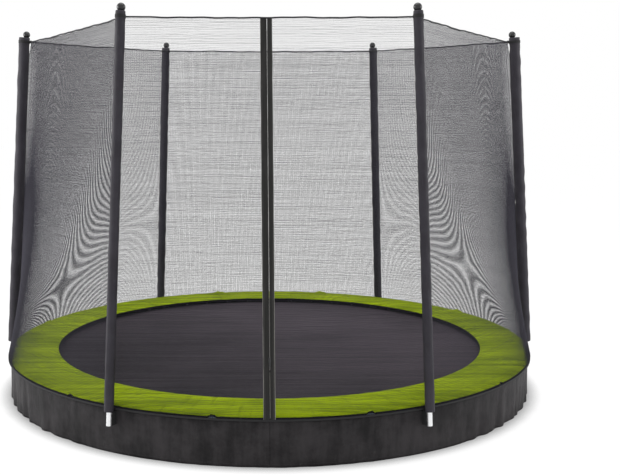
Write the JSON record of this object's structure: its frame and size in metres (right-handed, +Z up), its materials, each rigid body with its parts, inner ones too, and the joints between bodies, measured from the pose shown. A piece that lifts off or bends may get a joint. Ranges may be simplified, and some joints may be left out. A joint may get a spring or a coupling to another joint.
{
  "type": "backyard trampoline",
  "caption": "Low round trampoline for setting into the ground, with a padded rim, a fabric skirt and a pole-hung net enclosure with a zip door.",
  "frame": {"origin": "middle of the ring, on the ground", "axes": "+Z up, -Y towards the zip door, +X to the right of someone who faces the door"},
  "size_m": [3.2198, 3.0876, 2.1085],
  "materials": {
    "galvanised_steel": "hot-dip galvanised, dull",
    "spring_steel": "zinc plated wire",
    "jump_mat": "woven polypropylene, matt",
    "webbing": "woven webbing",
    "pad_cover": "coated woven cover with a light sheen",
    "cap_plastic": "glossy moulded",
    "spacer_plastic": "moulded, matt",
    "fastener_steel": "zinc plated",
    "net_hem": "sewn rope hem",
    "net_mesh": "knotted netting",
    "zip_plastic": "moulded teeth",
    "zip_metal": "painted die casting",
    "skirt_fabric": "coated fabric, low sheen",
    "pole_steel": "bright galvanised tube",
    "sleeve_fabric": "fabric-covered foam"
  },
  "bodies": {
    "frame": {"rail_1": "galvanised_steel", "rail_2": "galvanised_steel", "rail_3": "galvanised_steel", "rail_4": "galvanised_steel", "rail_5": "galvanised_steel", "rail_6": "galvanised_steel", "t_socket_1": "galvanised_steel", "t_socket_2": "galvanised_steel", "t_socket_3": "galvanised_steel", "t_socket_4": "galvanised_steel", "t_socket_5": "galvanised_steel", "t_socket_6": "galvanised_steel", "u_leg_1": "galvanised_steel", "u_leg_2": "galvanised_steel", "u_leg_3": "galvanised_steel", "springs": "spring_steel", "safety_pad": "pad_cover", "pad_ties": "webbing", "skirt_1": "skirt_fabric", "skirt_2": "skirt_fabric", "skirt_3": "skirt_fabric", "skirt_4": "skirt_fabric", "skirt_5": "skirt_fabric", "skirt_6": "skirt_fabric", "skirt_ties": "webbing", "pole_1": "pole_steel", "pole_2": "pole_steel", "pole_3": "pole_steel", "pole_4": "pole_steel", "pole_5": "pole_steel", "pole_6": "pole_steel", "pole_sleeve_1": "sleeve_fabric", "pole_sleeve_2": "sleeve_fabric", "pole_sleeve_3": "sleeve_fabric", "pole_sleeve_4": "sleeve_fabric", "pole_sleeve_5": "sleeve_fabric", "pole_sleeve_6": "sleeve_fabric", "pole_caps": "cap_plastic", "inner_spacers": "spacer_plastic", "outer_spacers": "spacer_plastic", "pole_bolts": "fastener_steel", "net_front_left": "net_mesh", "net_front_right": "net_mesh", "net_2": "net_mesh", "net_3": "net_mesh", "net_4": "net_mesh", "net_5": "net_mesh", "net_6": "net_mesh", "net_top_hem": "net_hem", "net_bottom_hem": "webbing", "net_straps": "webbing", "net_ties": "webbing", "zip_tapes": "webbing", "zip_teeth": "zip_plastic"},
    "mat": {"jump_mat": "jump_mat", "mat_edge_band": "webbing", "mat_rings": "spring_steel"},
    "zip_slider": {"zip_slider": "zip_metal"},
    "zip_pull_outer": {"zip_pull_outer": "zip_metal"},
    "zip_pull_inner": {"zip_pull_inner": "zip_metal"}
  },
  "joints": [
    {"name": "mat_bounce", "type": "slide", "parent": "frame", "child": "mat", "axis": [0, 0, 1], "range_m": [-0.14, 0], "stiffness_N_per_m": 4500, "springref_m": 0.02, "deforming": ["springs"]},
    {"name": "zip_slide", "type": "slide", "parent": "frame", "child": "zip_slider", "axis": [-0.0087, 0.1753, 0.9845], "range_m": [0, 1.45]},
    {"name": "zip_pull_outer_swing", "type": "hinge", "parent": "zip_slider", "child": "zip_pull_outer", "pos_m": [0.00167, -1.50122, 0.49475], "axis": [-1, 0, -0.0088], "range_deg": [0, 150]},
    {"name": "zip_pull_inner_swing", "type": "hinge", "parent": "zip_slider", "child": "zip_pull_inner", "pos_m": [0.00169, -1.49118, 0.49296], "axis": [1, 0, 0.0088], "range_deg": [-7, 150]}
  ]
}
